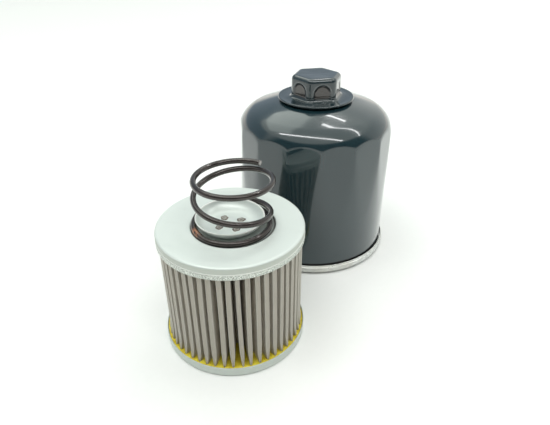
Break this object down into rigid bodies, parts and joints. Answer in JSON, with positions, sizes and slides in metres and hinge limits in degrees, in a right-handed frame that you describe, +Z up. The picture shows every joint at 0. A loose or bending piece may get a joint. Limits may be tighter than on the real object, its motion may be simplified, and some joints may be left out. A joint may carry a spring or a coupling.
{
  "type": "oil filter",
  "caption": "Spin-on oil filter opened up: fluted painted can with hexagon cap beside its pleated wire-mesh element and coil spring.",
  "frame": {"origin": "on the floor, at the middle of the row's footprint, half way between the outer edges of the two units", "axes": "+X from the element towards the can, +Z up along both units' axes"},
  "size_m": [0.1868, 0.098, 0.1111],
  "materials": {
    "can_paint": "high-gloss slate-grey enamel",
    "hex_paint": "high-gloss slate-grey enamel, thin at the edges",
    "weld_steel": "bare steel nugget",
    "base_steel": "zinc-plated thick plate",
    "galvanised": "galvanised sheet",
    "gasket_rubber": "smooth moulded nitrile",
    "valve_rubber": "soft moulded nitrile",
    "cap_plate": "pale passivated tinplate, satin",
    "cup_plate": "pale passivated tinplate, satin",
    "weld_tint": "heat-tinted weld rings",
    "wire_cloth": "fine stainless twill wire cloth",
    "tube_steel": "perforated tinplate",
    "sealant": "cured yellow sealant",
    "valve_steel": "plain stamped steel",
    "spring_steel": "oil-tempered dark wire with a rust fleck"
  },
  "bodies": {
    "can": {"can_shell": "can_paint", "hex_cap": "hex_paint", "flange_welds": "weld_steel", "base_plate": "base_steel", "seam_ring": "galvanised", "base_spot_welds": "weld_steel", "gasket": "gasket_rubber"},
    "drainback": {"drainback_valve": "valve_rubber"},
    "element": {"upper_end_cap": "cap_plate", "lower_end_cap": "cap_plate", "spring_cup": "cup_plate", "cup_spot_welds": "weld_tint", "pleated_mesh": "wire_cloth", "centre_tube": "tube_steel", "upper_adhesive": "sealant", "lower_adhesive": "sealant", "outlet_grommet": "valve_rubber", "bypass_cage": "valve_steel", "bypass_spring": "valve_steel"},
    "bypass": {"bypass_disc": "valve_steel"},
    "spring": {"coil_spring": "spring_steel"}
  },
  "joints": [
    {"name": "element_lift", "type": "slide", "parent": "can", "child": "element", "axis": [0, 0, 1], "range_m": [0, 0.12]},
    {"name": "spring_compress", "type": "slide", "parent": "element", "child": "spring", "axis": [0, 0, 1], "range_m": [-0.006, 0], "stiffness_N_per_m": 8000, "deforming": ["coil_spring"]},
    {"name": "bypass_lift", "type": "slide", "parent": "element", "child": "bypass", "axis": [0, 0, 1], "range_m": [0, 0.003], "stiffness_N_per_m": 6000, "springref_m": -0.004, "deforming": ["bypass_spring"]},
    {"name": "drainback_lift", "type": "slide", "parent": "can", "child": "drainback", "axis": [0, 0, 1], "range_m": [0, 0.0012], "stiffness_N_per_m": 500, "springref_m": -0.0005}
  ]
}
